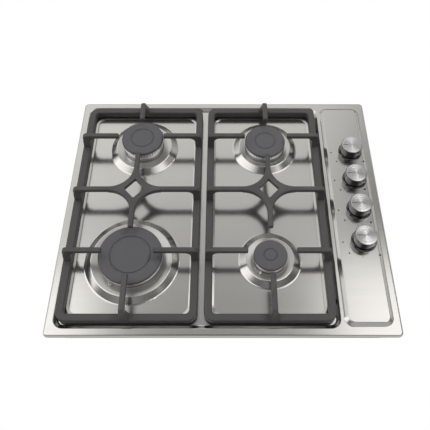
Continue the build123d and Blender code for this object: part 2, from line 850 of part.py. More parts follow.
def gas_manifold():
    """The rail that feeds the four taps."""
    front = KNOB_ROWS[-1] - manifold_front
    back = inlet_row - manifold_end_gap
    rail = rod(manifold_line, front, manifold_z, manifold_radius, back - front, (0, 1, 0))
    bore = rod(
        manifold_line, front + manifold_wall, manifold_z, manifold_radius - manifold_wall, back - front, (0, 1, 0)
    )
    stub_reach = manifold_line - knob_line
    for row in KNOB_ROWS:
        rail += rod(manifold_line, row, manifold_z, tap_outlet_radius, stub_reach, (-1, 0, 0))
    rail -= bore
    for row in KNOB_ROWS:
        rail -= rod(knob_line, row, tap_low - cut_over, tap_radius, tap_height + 2 * cut_over, (0, 0, 1))
        rail -= rod(manifold_line, row, manifold_z, tube_bore, stub_reach, (-1, 0, 0))
    return rail


def inlet_elbow():
    """The elbow whose threaded end points down for the supply pipe."""
    low = pan_floor + pan_notch_rise
    thread_low = low - inlet_thread_length
    head_low = low + sheet
    head_high = head_low + inlet_body_height
    body = turned(
        [
            (0, head_low), (inlet_body_radius, head_low), (inlet_body_radius, head_high - inlet_chamfer),
            (inlet_body_radius - inlet_chamfer, head_high), (0, head_high),
        ],
        inlet_line, inlet_row,
    )
    thread_high = low - inlet_neck_length
    body += rod(inlet_line, inlet_row, thread_low, inlet_thread_radius, thread_high - thread_low, (0, 0, 1))
    body += rod(inlet_line, inlet_row, thread_high, inlet_neck_radius, head_low - thread_high, (0, 0, 1))
    arm_y = inlet_row - manifold_end_gap
    body += rod(manifold_line, arm_y, manifold_z, manifold_radius, manifold_end_gap, (0, 1, 0))
    body -= rod(inlet_line, inlet_row, thread_low, inlet_bore, manifold_z - thread_low + inlet_bore_over, (0, 0, 1))
    bore = manifold_radius - manifold_wall
    return body - rod(manifold_line, arm_y, manifold_z, bore, manifold_end_gap, (0, 1, 0))


# -------------------------------------------------------- base pan and inside
def pan_form(inset):
    """The base pan's outer or inner shape."""
    half_x = pan_width / 2 - inset
    half_y = pan_depth / 2 - inset
    low = pan_floor + inset
    form = prism(-half_x, half_x, -half_y, half_y, pan_corner - inset, low, floor_z - sheet)
    form = fillet(form.edges().group_by(Axis.Z)[0], pan_edge_radius - inset)
    notch_z = pan_floor + pan_notch_rise + inset
    form -= prism(
        pan_notch_x - inset, pan_width, pan_notch_y - inset, pan_depth,
        pan_inner_corner + inset, pan_floor - cut_over, notch_z,
    )
    return form


def base_pan():
    """The galvanised box that closes the hob from below."""
    pan = pan_form(0.0) - pan_form(sheet)
    half_x = pan_width / 2
    half_y = pan_depth / 2
    top = floor_z - sheet
    flange = prism(-half_x, half_x, -half_y, half_y, pan_corner, top - sheet, top)
    flange -= prism(
        -half_x + pan_flange, half_x - sheet, -half_y + pan_flange, half_y - pan_flange, pan_inner_corner,
        top - sheet, top,
    )
    flange -= prism(well_x1 - well_slope, half_x - sheet, -half_y + sheet, half_y - sheet, pan_corner - sheet,
                    top - sheet, top)
    pan += flange
    notch_low = pan_floor + pan_notch_rise
    inlet_hole_radius = inlet_thread_radius + inlet_hole_gap
    pan -= rod(inlet_line, inlet_row, notch_low - cut_over, inlet_hole_radius, sheet + 2 * cut_over, (0, 0, 1))
    pan -= rod(gland_x, half_y - sheet - cut_over, gland_z, gland_radius + gland_clearance, sheet + 2 * cut_over, (0, 1, 0))
    for side in (-1, 1):
        for i in range(pan_slot_count):
            x = side * half_x * pan_slot_place + (i - (pan_slot_count - 1) / 2) * pan_slot_pitch
            slot = Pos(x, 0, pan_floor) * SlotOverall(pan_slot_length, pan_slot_width, rotation=90)
            pan -= extrude(slot, sheet * 2)
    return pan


def burner_rail(row):
    """A folded channel across the pan that carries two cups."""
    x0 = -pan_width / 2 + rail_end_left
    x1 = rail_end_right
    half = rail_width / 2
    high = column_low
    low = pan_inner_floor
    outer = Pos((x0 + x1) / 2, row, (low + high) / 2) * Box(x1 - x0, rail_width, high - low)
    inner = Pos((x0 + x1) / 2, row, (low + high) / 2 - rail_sheet) * Box(
        x1 - x0, rail_width - 2 * rail_sheet, high - low
    )
    rail = outer - inner
    for side in (-1, 1):
        lip = Pos((x0 + x1) / 2, row + side * (half + rail_lip / 2), low + rail_sheet / 2)
        rail += lip * Box(x1 - x0, rail_lip, rail_sheet)
    return rail


def manifold_brackets():
    """Two folded saddles that carry the gas rail on the pan's floor."""
    brackets = []
    top = manifold_z - manifold_radius
    low = pan_inner_floor
    for row in (KNOB_ROWS[0] - knob_pitch / 2, KNOB_ROWS[-1] + knob_pitch / 2):
        web = Pos(manifold_line, row, (low + top) / 2) * Box(bracket_sheet, bracket_width, top - low)
        head = Pos(manifold_line - bracket_head / 2, row, top - bracket_sheet / 2)
        foot = Pos(manifold_line - bracket_head / 2, row, low + bracket_sheet / 2)
        bracket = web + head * Box(bracket_head, bracket_width, bracket_sheet)
        brackets.append(bracket + foot * Box(bracket_head, bracket_width, bracket_sheet))
    return Compound(brackets)


def worktop_clamps():
    """Four angle brackets that grip the worktop from below."""
    clamps = []
    for side in (-1, 1):
        for row in (-clamp_row, clamp_row):
            wall = side * pan_width / 2
            tab = Pos(wall + side * clamp_sheet / 2, row, -clamp_grip + clamp_tab / 2)
            bracket = tab * Box(clamp_sheet, clamp_width, clamp_tab)
            foot = Pos(wall + side * clamp_reach / 2, row, -clamp_grip - clamp_sheet / 2)
            bracket += foot * Box(clamp_reach, clamp_width, clamp_sheet)
            hole_z = -clamp_grip + clamp_tab - clamp_screw_drop
            bracket -= rod(wall, row, hole_z, screw_radius + clamp_hole_gap, clamp_sheet * 2, (side, 0, 0))
            clamps.append(bracket)
    return Compound(clamps)


def clamp_screws():
    """The screws that hold the clamps to the pan."""
    screws = []
    for side in (-1, 1):
        for row in (-clamp_row, clamp_row):
            face = side * (pan_width / 2 + clamp_sheet)
            hole_z = -clamp_grip + clamp_tab - clamp_screw_drop
            head = rod(face, row, hole_z, clamp_head_radius, clamp_head_height, (side, 0, 0))
            screws.append(head + rod(face, row, hole_z, screw_radius, clamp_sheet, (-side, 0, 0)))
    return Compound(screws)


def ignition_module():
    """The spark generator on the pan's floor with its lead posts."""
    x, y = module_place
    length, width, height = module_size
    case = Pos(x, y, pan_inner_floor + height / 2) * Box(length, width, height)
    case = fillet(case.edges().filter_by(Axis.Z), module_round)
    for i in range(module_post_count):
        post_x = x + (i - (module_post_count - 1) / 2) * module_post_pitch
        case += rod(post_x, y, pan_inner_floor + height, module_post_radius, module_post_height, (0, 0, 1))
    return case


def terminal_block():
    """The mains terminal block inside the cable entry."""
    x, y = block_place
    length, width, height = block_size
    low = pan_inner_floor
    block = Pos(x, y, low + height / 2) * Box(length, width, height)
    for i in range(block_screw_count):
        screw_x = x + (i - (block_screw_count - 1) / 2) * length / block_screw_count
        screw_low = low + height - block_screw_depth
        block -= rod(screw_x, y, screw_low, block_screw_radius, block_screw_depth, (0, 0, 1))
    return block


def cable_gland():
    """The cable entry in the pan's rear wall."""
    wall = pan_depth / 2
    outer = rod(gland_x, wall, gland_z, gland_collar, gland_collar_length, (0, 1, 0))
    outer += rod(gland_x, wall + gland_collar_length - gland_length, gland_z, gland_radius, gland_length, (0, 1, 0))
    return outer - rod(
        gland_x, wall + gland_collar_length - gland_length, gland_z, gland_bore, gland_length, (0, 1, 0)
    )


# -------------------------------------------------------------------- writing
def write(name, shape):
    """One STEP file for one sub-part."""
    export_step(shape, "parts/" + name + ".step")


os.makedirs("parts", exist_ok=True)
write("top_plate", top_plate())
write("worktop_seal", worktop_seal())
write("left_pan_frame", pan_frame(LEFT_FRAME))
write("right_pan_frame", pan_frame(RIGHT_FRAME))
write("left_pan_arms", pan_arms(LEFT_FRAME, left_star_line, BURNERS["rear_left"], BURNERS["front_left"]))
write("right_pan_arms", pan_arms(RIGHT_FRAME, right_star_line, BURNERS["rear_right"], BURNERS["front_right"]))
write("left_support_feet", support_feet(LEFT_FRAME))
write("right_support_feet", support_feet(RIGHT_FRAME))
for name, burner in BURNERS.items():
    write(name + "_burner_cup", burner_cup(burner))
    write(name + "_flame_spreader", flame_spreader(burner))
    write(name + "_burner_cap", burner_cap(burner))
    write(name + "_spark_electrode", spark_electrode(burner))
write("burner_screws", burner_screws())
write("injectors", Compound([injector(burner) for burner in BURNERS.values()]))
for number, row in enumerate(KNOB_ROWS, 1):
    write(f"knob_{number}", knob(row))
    write(f"knob_top_{number}", knob_top(row))
    write(f"tap_spindle_{number}", tap_spindle(row))
    write(f"tap_plug_{number}", tap_plug(row))
    write(f"gas_tap_{number}", tap_body(row))
tubes = [gas_tube(row, BURNERS[name]) for row, name in zip(KNOB_ROWS, BURNER_OF_KNOB)]
write("gas_tubes", Compound(tubes))
write("knob_bezels", knob_bezels())
write("ignition_switches", ignition_switches())
write("gas_manifold", gas_manifold())
write("inlet_elbow", inlet_elbow())
write("base_pan", base_pan())
write("burner_rails", Compound([burner_rail(row) for row in (rear_row, front_row)]))
write("manifold_brackets", manifold_brackets())
write("worktop_clamps", worktop_clamps())
write("clamp_screws", clamp_screws())
write("ignition_module", ignition_module())
write("terminal_block", terminal_block())
write("cable_gland", cable_gland())
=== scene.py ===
import math
from functools import partial, reduce

import bmesh
import bpy
from bpy.props import FloatProperty, FloatVectorProperty, IntProperty, PointerProperty
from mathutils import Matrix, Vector


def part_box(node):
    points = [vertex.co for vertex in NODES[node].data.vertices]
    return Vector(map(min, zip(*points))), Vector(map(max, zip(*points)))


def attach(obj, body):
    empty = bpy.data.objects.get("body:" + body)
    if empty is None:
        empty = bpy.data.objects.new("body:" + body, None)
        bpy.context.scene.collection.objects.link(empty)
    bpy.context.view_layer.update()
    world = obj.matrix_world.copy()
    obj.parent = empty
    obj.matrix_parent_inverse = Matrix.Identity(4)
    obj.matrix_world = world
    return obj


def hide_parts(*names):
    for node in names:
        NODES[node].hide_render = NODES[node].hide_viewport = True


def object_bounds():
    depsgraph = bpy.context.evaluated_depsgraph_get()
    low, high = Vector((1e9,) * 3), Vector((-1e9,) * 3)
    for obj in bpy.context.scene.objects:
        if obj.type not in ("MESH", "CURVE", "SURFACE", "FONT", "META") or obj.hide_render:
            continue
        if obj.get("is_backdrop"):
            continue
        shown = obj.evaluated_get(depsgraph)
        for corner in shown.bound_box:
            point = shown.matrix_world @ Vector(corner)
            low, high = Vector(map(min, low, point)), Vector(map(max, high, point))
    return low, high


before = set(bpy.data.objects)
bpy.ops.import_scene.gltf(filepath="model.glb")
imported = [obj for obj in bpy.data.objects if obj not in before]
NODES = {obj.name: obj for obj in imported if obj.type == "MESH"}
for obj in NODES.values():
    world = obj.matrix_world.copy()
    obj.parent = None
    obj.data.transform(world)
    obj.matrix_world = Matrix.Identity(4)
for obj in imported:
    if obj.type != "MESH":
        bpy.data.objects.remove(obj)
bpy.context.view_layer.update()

bl_info = {
    "name": "Gas hob finishes",
    "version": (1, 0, 0),
    "blender": (4, 5, 0),
    "location": "3D View > Sidebar > Gas Hob",
    "description": "Finishes, printed marks, caps, camera and light for the built-in gas hob",
    "category": "Object",
}

MM = 0.001

# The colours among a Mix node's inputs and outputs.
MIX_COLOURS = (6, 7)
MIX_RESULT = 2

BURNER_NAMES = ("rear_left", "rear_right", "front_left", "front_right")
KNOB_NUMBERS = (1, 2, 3, 4)

# A plate point belongs to a burner's raised seat when it is this near and above this height.
SEAT_SEARCH = 0.09
SEAT_FLOOR = 0.00235

# Where a seat's turned finish fades, from the seat's outer edge, and where the painted shade in the gap at the
# hole fades, from the hole's edge.
SEAT_FADE = (-0.001, 0.0015)
PAINTED_GAP_SHADE_FADE = (0.0004, 0.0024)

# The heights between which pans wear the supports' enamel.
WORN_HEIGHTS = (0.0438, 0.0452)

# The height of the ceramic's top above the electrode's lowest point.
ELECTRODE_STAND = 0.024

# The lean of the spun rings on a knob's top, and the radius under which they stop growing steeper.
SPUN_TILT = 0.9
SPUN_CORE = 0.0004

# Circles of a solid count as one within this distance.
SAME = 0.0003

# The lathe's path radius, and the distance within which its points are joined.
LATHE_REACH = 0.01
LATHE_MERGE = 0.000002
SMOOTH_ANGLE = math.radians(40)

# How many steps the parts of a cap's outline take.
LIP_STEPS = 3
EDGE_STEPS = 4
RIM_STEPS = 10
GROOVE_STEPS = 16
FIELD_STEPS = 8

# The printed dots round the knobs: the knob's number, then right and back from its axis in millimetres.
FLAME_DOTS = {
    "large_dot": ((1, 23.3, -24.1), (2, 16.8, -23.3), (3, 17.6, -28.7), (4, 24.0, -28.3)),
    "middle_dot": tuple((knob, *place) for knob in KNOB_NUMBERS for place in ((-37.2, -3.1), (-28.3, -24.4))),
    "small_dot": ((3, -6.2, -34.7), (4, -6.0, -32.1)),
}
DOT_FACETS = 28

# The pointer line starts this far to the left of a knob's axis.
POINTER_START = 0.0172
POINTER_STEPS = 8

# The floor stands this far under the hob and reaches this far.
FLOOR_GAP = 0.0005
FLOOR_REACH = 6.0

# The studio is laid out by slope: how far sideways or back a line of sight goes for each metre it rises.
# A step starts and ends at two such slopes. The ceiling's rows add their last number past their step.
LOWEST_RISE = 0.04
LOWEST_LIGHT = 0.04
STUDIO_TINT = (1.0, 0.992, 0.975, 1.0)
CEILING_LEVEL = 0.12
CEILING_STEPS = ((-0.35, 0.33, 0.22), (0.28, 0.8, 0.4), (0.8, 0.97, 0.12), (1.0, 1.7, -0.14), (1.7, 3.5, -0.2))
FRONT_STEP = (0.85, 1.25, 0.42)

# Patches of the ceiling: the side they lie on (-1 left, 1 right), where they rise and fall sideways and
# to the back, the share that is left past the fall to the back, and what they add.
STUDIO_PATCHES = (
    dict(hand=-1.0, side=((0.22, 0.31), None), back=((-0.62, -0.4), (0.43, 0.5), 0.0), adds=1.2),
    dict(hand=1.0, side=((0.17, 0.25), (0.75, 0.95)), back=((-0.62, -0.4), (0.46, 0.53), 0.0), adds=1.2),
    dict(hand=-1.0, side=((0.15, 0.3), None), back=((0.3, 0.45), (0.55, 1.6), 0.0), adds=0.18),
    dict(hand=1.0, side=((0.27, 0.36), None), back=((0.47, 0.58), (0.68, 0.95), 0.4), adds=-0.6),
)

LAMP_SIZE = 0.5
LAMP_PLACE = (0.75, 0.55, 1.25)
LAMP_TARGET = (0.05, 0.0, 0.0)
SENSOR_WIDTH = 36.0
CLIP_RANGE = (0.01, 50.0)


def middle(node):
    """The middle of a node's box."""
    low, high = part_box(node)
    return (low + high) / 2


PANEL_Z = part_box("knob_bezels")[0].z
KNOB_MIDDLES = [middle(f"knob_{number}") for number in KNOB_NUMBERS]
KNOB_PITCH = abs(KNOB_MIDDLES[0].y - KNOB_MIDDLES[1].y)
BURNER_MIDDLES = {name: middle(f"{name}_burner_cap") for name in BURNER_NAMES}


# ------------------------------------------------------------------ settings
def length_setting(name, description, default, low, high):
    """A setting in metres."""
    return FloatProperty(
        name=name, description=description, subtype="DISTANCE", unit="LENGTH",
        default=default, min=low, max=high,
    )


def share_setting(name, description, default):
    """A setting from 0 to 1."""
    return FloatProperty(
        name=name, description=description, subtype="FACTOR", default=default, min=0.0, max=1.0,
    )


def colour_setting(name, description, default):
    """A colour setting."""
    return FloatVectorProperty(
        name=name, description=description, subtype="COLOR", size=3, default=default, min=0.0, max=1.0,
    )


class HobSteel(bpy.types.PropertyGroup):
    """The sheet steel of the plate"""

    tint: colour_setting("Tint", "Colour of the bare steel", (0.655, 0.645, 0.622))
    brushing: share_setting("Brushing", "Roughness of the brushed field", 0.19)
    polish: share_setting("Polish", "Roughness of the polished slopes round the burners", 0.2)
    satin: share_setting("Satin", "Roughness of the turned flats round the burners", 0.3)
    line_pitch: length_setting("Brush line pitch", "Distance between brush lines", 0.0005, 0.0001, 0.01)


class HobEnamel(bpy.types.PropertyGroup):
    """The enamel of the pan supports and the caps"""

    support_tint: colour_setting("Support tint", "Colour of the pan supports", (0.062, 0.0615, 0.060))
    cap_tint: colour_setting("Cap tint", "Colour of the burner caps", (0.092, 0.0895, 0.0975))
    roughness: share_setting("Roughness", "Roughness of the enamel", 0.5)
    grain: length_setting("Grain", "Size of the enamel's orange peel", 0.0016, 0.0002, 0.01)


class HobMarks(bpy.types.PropertyGroup):
    """The printed dots and the pointer lines"""

    large_dot: length_setting("Large dot", "Radius of the full flame dots", 0.0019, 0.0002, 0.01)
    middle_dot: length_setting("Middle dot", "Radius of the off and low flame dots", 0.0014, 0.0002, 0.01)
    small_dot: length_setting("Small dot", "Radius of the smallest dots", 0.0008, 0.0002, 0.01)
    ink: length_setting("Ink thickness", "Thickness of the print", 0.00006, 0.00001, 0.001)
    line_length: length_setting("Pointer length", "Length of the pointer line on a knob", 0.0105, 0.002, 0.02)
    line_width: length_setting("Pointer width", "Width of the pointer line", 0.0011, 0.0002, 0.005)


class HobCaps(bpy.types.PropertyGroup):
    """The shape of the burner caps"""

    segments: IntProperty(
        name="Segments", description="Facets round a cap", default=144, min=16, max=400,
    )
    rim_round: length_setting("Rim round", "Radius of the cap's upper edge", 0.0024, 0.0002, 0.004)
    edge_round: length_setting("Edge round", "Radius of the cap's small edges", 0.0005, 0.0001, 0.001)
    groove_half: length_setting("Groove half width", "Half the width of the round groove", 0.002, 0.0005, 0.004)
    groove_depth: length_setting("Groove depth", "Depth of the round groove", 0.0015, 0.0001, 0.003)
    dome: length_setting("Dome", "How far the cap's middle field falls to its edge", 0.0003, 0.0, 0.003)


class HobStage(bpy.types.PropertyGroup):
    """The camera and the light"""

    lens: FloatProperty(
        name="Lens", description="Focal length on a 36 mm sensor", unit="CAMERA",
        default=43.12, min=10.0, max=200.0,
    )
    pitch: FloatProperty(
        name="Pitch", description="How far the camera looks down", subtype="ANGLE",
        unit="ROTATION", default=math.radians(58.9), min=0.0, max=math.radians(90),
    )
    place: FloatVectorProperty(
        name="Camera place", description="Where the camera stands", subtype="TRANSLATION", size=3,
        unit="LENGTH", default=(0.00429, -0.5092, 0.8109),
    )
    shift: FloatVectorProperty(
        name="Shift", description="Sideways and upward shift of the picture", size=2,
        default=(-0.0251, 0.0016),
    )
    ceiling: FloatProperty(
        name="Ceiling", description="Brightness of the studio's ceiling", default=1.0, min=0.0, max=4.0,
    )
    lamp: FloatProperty(
        name="Lamp", description="Power of the soft lamp behind the hob", unit="POWER",
        default=9.0, min=0.0, max=500.0,
    )


SETTING_GROUPS = {
    "hob_steel": HobSteel,
    "hob_enamel": HobEnamel,
    "hob_marks": HobMarks,
    "hob_caps": HobCaps,
    "hob_stage": HobStage,
}


# ------------------------------------------------------------- shader writing
class Wire:
    """One shader value; arithmetic on it adds Math nodes."""

    def __init__(self, board, socket):
        self.board = board
        self.socket = socket

    def calculate(self, operation, *others):
        return self.board.calculate(operation, self, *others)

    def __add__(self, other):
        return self.calculate("ADD", other)

    __radd__ = __add__

    def __mul__(self, other):
        return self.calculate("MULTIPLY", other)

    __rmul__ = __mul__

    def __sub__(self, other):
        return self.calculate("SUBTRACT", other)

    def __rsub__(self, other):
        return self.board.calculate("SUBTRACT", other, self)

    def __truediv__(self, other):
        return self.calculate("DIVIDE", other)

    def __pow__(self, other):
        return self.calculate("POWER", other)

    def step(self, start, end):
        """0 before start, 1 after end and smooth between them."""
        return self.board.node(
            "ShaderNodeMapRange", {"interpolation_type": "SMOOTHSTEP"},
            {"Value": self, "From Min": start, "From Max": end},
        )

    def window(self, rise, fall, left_over=0.0):
        """A step up, and a step down again to what is left over where a fall is given."""
        start = self.step(*rise)
        return start * (1.0 - self.step(*fall) * (1.0 - left_over)) if fall else start


class Board:
    """The node tree of one material or world."""

    def __init__(self, owner):
        owner.use_nodes = True
        self.tree = owner.node_tree
        self.tree.nodes.clear()

    def node(self, kind, settings=None, inputs=None, output=0):
        """Adds a node, sets it up, feeds its sockets and gives one of its outputs."""
        made = self.tree.nodes.new(kind)
        for name, value in (settings or {}).items():
            setattr(made, name, value)
        for name, value in (inputs or {}).items():
            self.feed(made.inputs[name], value)
        return Wire(self, made.outputs[output]) if made.outputs else made

    def feed(self, socket, value):
        """Links a wire to a socket, or writes a plain value in it."""
        if isinstance(value, Wire):
            self.tree.links.new(value.socket, socket)
        elif value is not None:
            socket.default_value = value

    def calculate(self, operation, *values):
        return self.node("ShaderNodeMath", {"operation": operation}, dict(enumerate(values)))

    def place(self):
        """Where a point is on the object, in metres."""
        return self.node("ShaderNodeTexCoord", output="Object")

    def stretched(self, vector, scale):
        return self.node("ShaderNodeMapping", {}, {"Vector": vector, "Scale": scale})

    def parts(self, vector):
        split = self.node("ShaderNodeSeparateXYZ", {}, {"Vector": vector})
        outputs = split.socket.node.outputs
        return [Wire(self, outputs[axis]) for axis in ("X", "Y", "Z")]

    def joined(self, x, y, z):
        return self.node("ShaderNodeCombineXYZ", {}, {"X": x, "Y": y, "Z": z})

    def noise(self, vector, scale, detail=3.0, roughness=0.5):
        return self.node(
            "ShaderNodeTexNoise", {},
            {"Vector": vector, "Scale": scale, "Detail": detail, "Roughness": roughness},
        )

    def bands(self, value, pitch, seed=(0.5, 0.5), detail=2.0, roughness=0.5):
        """Noise along one value only, so that it draws lines or rings."""
        return self.noise(self.joined(value * pitch, *seed), 1.0, detail, roughness)

    def mix(self, factor, first, second):
        """A colour between first and second."""
        made = self.node("ShaderNodeMix", {"data_type": "RGBA"}, {"Factor": factor}, output=MIX_RESULT)
        sockets = made.socket.node.inputs
        for index, value in zip(MIX_COLOURS, (first, second)):
            self.feed(sockets[index], value if isinstance(value, Wire) else (*value, 1.0))
        return made

    def bump(self, height, distance, strength=1.0):
        inputs = {"Height": height, "Distance": distance, "Strength": strength}
        return self.node("ShaderNodeBump", {}, inputs, output="Normal")

    def surface(self, **sockets):
        """The Principled shader with these sockets, joined to the output."""
        named = {name.replace("_", " "): value for name, value in sockets.items()}
        shader = self.node("ShaderNodeBsdfPrincipled", {}, named)
        self.node("ShaderNodeOutputMaterial", {}, {"Surface": shader})


FINISHES = {}


def finish_named(name):
    """Decorates a function that fills in one finish's board."""

    def keep(paint):
        FINISHES[name] = paint
        return paint

    return keep


def material(name):
    """The finish's material, made on first use."""
    label = f"hob_{name}"
    found = bpy.data.materials.get(label)
    if found is None:
        found = bpy.data.materials.new(label)
        FINISHES[name](Board(found), bpy.context.scene)
    return found


def shaded(colour, factor):
    """A colour made lighter or darker by a factor."""
    return tuple(min(1.0, channel * factor) for channel in colour)


def shades(board, factor, colour, darker, lighter):
    """A mix between a darker and a lighter shade of one colour."""
    return board.mix(factor, shaded(colour, darker), shaded(colour, lighter))


def axis_distance(across, along):
    """Distance from an upright axis, in metres."""
    return (across * across + along * along) ** 0.5


def seat_radii(name):
    """The radius of a burner's hole and how far its raised seat reaches, from the plate's own points."""
    centre = BURNER_MIDDLES[name]
    radii = [
        math.hypot(vertex.co.x - centre.x, vertex.co.y - centre.y)
        for vertex in NODES["top_plate"].data.vertices
        if vertex.co.z > SEAT_FLOOR
    ]
    raised = [radius for radius in radii if radius < SEAT_SEARCH]
    return min(raised), max(raised)


def all_of(operation, wires):
    """The largest or smallest of several wires."""
    return reduce(lambda first, second: first.calculate(operation, second), wires)


@finish_named("brushed_plate")
def paint_plate(board, scene):
    """Steel brushed along X, turned and polished round the burners, with painted shade in the gaps at their
    holes.
    """
    steel = scene.hob_steel
    place = board.place()
    x, y, _ = board.parts(place)
    lines = 1.0 / steel.line_pitch
    fine = board.noise(board.stretched(place, (12, lines, lines)), 1.0, 3.0, 0.6)
    broad = board.noise(board.stretched(place, (3, 160, 160)), 1.0, 2.0, 0.5)
    cloud = board.noise(place, 9.0, 2.0, 0.5)
    radii, seats, painted_gap_shades = [], [], []
    for name, centre in BURNER_MIDDLES.items():
        radius = axis_distance(x - centre.x, y - centre.y)
        hole, reach = seat_radii(name)
        radii.append(radius)
        seats.append(1.0 - radius.step(*(reach + fade for fade in SEAT_FADE)))
        painted_gap_shades.append(1.0 - radius.step(*(hole + fade for fade in PAINTED_GAP_SHADE_FADE)))
    seat = all_of("MAXIMUM", seats)
    painted_gap_shade = all_of("MAXIMUM", painted_gap_shades)
    rings = board.bands(all_of("MINIMUM", radii), 1800.0, roughness=0.6)
    open_field = 1.0 - seat
    _, _, facing = board.parts(board.node("ShaderNodeTexCoord", output="Normal"))
    flat = facing.step(0.93, 0.985)
    brushed_rough = steel.brushing + (fine - 0.5) * 0.08 + (broad - 0.5) * 0.04
    turned_rough = flat * steel.satin + (1.0 - flat) * steel.polish + (rings - 0.5) * 0.08
    rough = brushed_rough * open_field + turned_rough * seat
    light = shades(board, cloud, steel.tint, 0.98, 1.02)
    streak = shades(board, broad * 0.5 + fine * 0.5, steel.tint, 0.96, 1.04)
    # Near each hole's edge the colour goes almost black: painted shade for the gap round the spreader.
    colour = board.mix(painted_gap_shade * 0.85, board.mix(0.5, light, streak), shaded(steel.tint, 0.06))
    grain = fine * open_field + rings * seat
    normal = board.bump(grain * (0.35 + open_field * 0.65), 0.00001, 0.8)
    board.surface(Base_Color=colour, Metallic=1.0, Roughness=rough, Normal=normal)


@finish_named("matt_enamel")
def paint_enamel(board, scene):
    """Dark enamel with orange peel, worn lighter where pans stand."""
    enamel = scene.hob_enamel
    place = board.place()
    peel = board.noise(place, 1.0 / enamel.grain, 3.0, 0.55)
    cloud = board.noise(place, 22.0, 3.0, 0.5)
    _, _, height = board.parts(place)
    worn = height.step(*WORN_HEIGHTS) * cloud.step(0.45, 0.7)
    colour = shades(board, cloud, enamel.support_tint, 0.86, 1.14)
    colour = board.mix(worn * 0.35, colour, shaded(enamel.support_tint, 1.7))
    rough = enamel.roughness + (peel - 0.5) * 0.16 - worn * 0.08
    normal = board.bump(peel, 0.00016, 0.55)
    board.surface(Base_Color=colour, Roughness=rough, Specular_IOR_Level=0.55, Normal=normal)


@finish_named("cap_enamel")
def paint_cap(board, scene):
    """Finer enamel with pale specks."""
    enamel = scene.hob_enamel
    place = board.place()
    peel = board.noise(place, 1.3 / enamel.grain, 2.0, 0.5)
    cloud = board.noise(place, 35.0, 3.0, 0.5)
    speck = board.noise(place, 1400.0, 1.0, 0.5).step(0.62, 0.75)
    colour = shades(board, cloud, enamel.cap_tint, 0.93, 1.07)
    colour = board.mix(speck * 0.25, colour, shaded(enamel.cap_tint, 1.5))
    rough = enamel.roughness - 0.06 + (peel - 0.5) * 0.1
    normal = board.bump(peel, 0.00008, 0.5)
    board.surface(Base_Color=colour, Roughness=rough, Specular_IOR_Level=0.5, Normal=normal)


def from_knob(board, place):
    """How far a point is to the right of and behind the nearest knob's axis, with one repeat along Y."""
    x, y, _ = board.parts(place)
    first = KNOB_MIDDLES[0]
    turn = (y - (first.y - KNOB_PITCH / 2)) / KNOB_PITCH
    return x - first.x, (turn - turn.calculate("FLOOR") - 0.5) * KNOB_PITCH


@finish_named("spun_top")
def paint_knob_top(board, scene):
    """Spun aluminium: fine rings that lean in and out, and two painted highlight wedges that lighten the
    colour.
    """
    across, along = from_knob(board, board.place())
    radius = axis_distance(across, along)
    rings = board.bands(radius, 3200.0, (0.3, 0.7), roughness=0.7)
    wide = board.bands(radius, 700.0, (0.1, 0.2))
    angle = along.calculate("ARCTAN2", across)
    fan = board.noise(board.joined(angle * 1.6, 0.2, 0.4), 2.2, 1.0, 0.5)
    rough = 0.2 + (rings - 0.5) * 0.12 + (fan - 0.5) * 0.06
    core = radius.calculate("MAXIMUM", SPUN_CORE)
    # Two wedges, front and back, lighten the colour: a painted highlight for the spun metal's stretched
    # reflection. The rings add tone.
    painted_highlight_wedge = (along / core) ** 2.0
    painted_wedges_and_rings = painted_highlight_wedge * painted_highlight_wedge * 0.75 + wide * 0.15 + rings * 0.1
    colour = board.mix(painted_wedges_and_rings, (0.56, 0.56, 0.562), (0.97, 0.967, 0.962))
    tilt = (rings - 0.5) * SPUN_TILT / core
    lean = board.joined(across * tilt, along * tilt, 1.0)
    turned = board.node("ShaderNodeVectorTransform", {"vector_type": "NORMAL"}, {"Vector": lean})
    normal = board.node("ShaderNodeVectorMath", {"operation": "NORMALIZE"}, {"Vector": turned})
    board.surface(Base_Color=colour, Metallic=1.0, Roughness=rough, Normal=normal)


@finish_named("knob_chrome")
def paint_shade_darkened_chrome(board, scene):
    """Chrome whose colour is darkened as painted shade, for the dark reflections and shadow on the knobs, with
    fine lines round it.
    """
    place = board.place()
    smear = board.noise(board.stretched(place, (1, 1, 0.3)), 60.0, 3.0, 0.5)
    _, _, height = board.parts(place)
    lines = board.noise(board.joined(0.2, 0.4, height * 2600.0), 1.0, 2.0, 0.6)
    rough = 0.09 + (smear - 0.5) * 0.06 + (lines - 0.5) * 0.05
    # The near-black colour is painted shade: it stands in for the dark reflections and shadow on the skirts and
    # bezels.
    colour = board.mix(smear, (0.10, 0.10, 0.103), (0.16, 0.16, 0.165))
    board.surface(Base_Color=colour, Metallic=1.0, Roughness=rough, Normal=board.bump(lines, 0.00001, 0.5))


@finish_named("spreader_aluminium")
def paint_spreader(board, scene):
    """Turned aluminium with a little soot."""
    place = board.place()
    grain = board.noise(place, 700.0, 3.0, 0.6)
    _, _, height = board.parts(place)
    tooling = board.noise(board.joined(0.2, 0.4, height * 1900.0), 1.0, 2.0, 0.6)
    soot = board.noise(place, 60.0, 3.0, 0.6).step(0.5, 0.8)
    colour = board.mix(grain, (0.78, 0.78, 0.775), (0.9, 0.9, 0.895))
    colour = board.mix(soot * 0.15, colour, (0.35, 0.34, 0.32))
    rough = 0.34 + (grain - 0.5) * 0.12 + soot * 0.12
    board.surface(Base_Color=colour, Metallic=1.0, Roughness=rough, Normal=board.bump(tooling, 0.00003, 0.7))


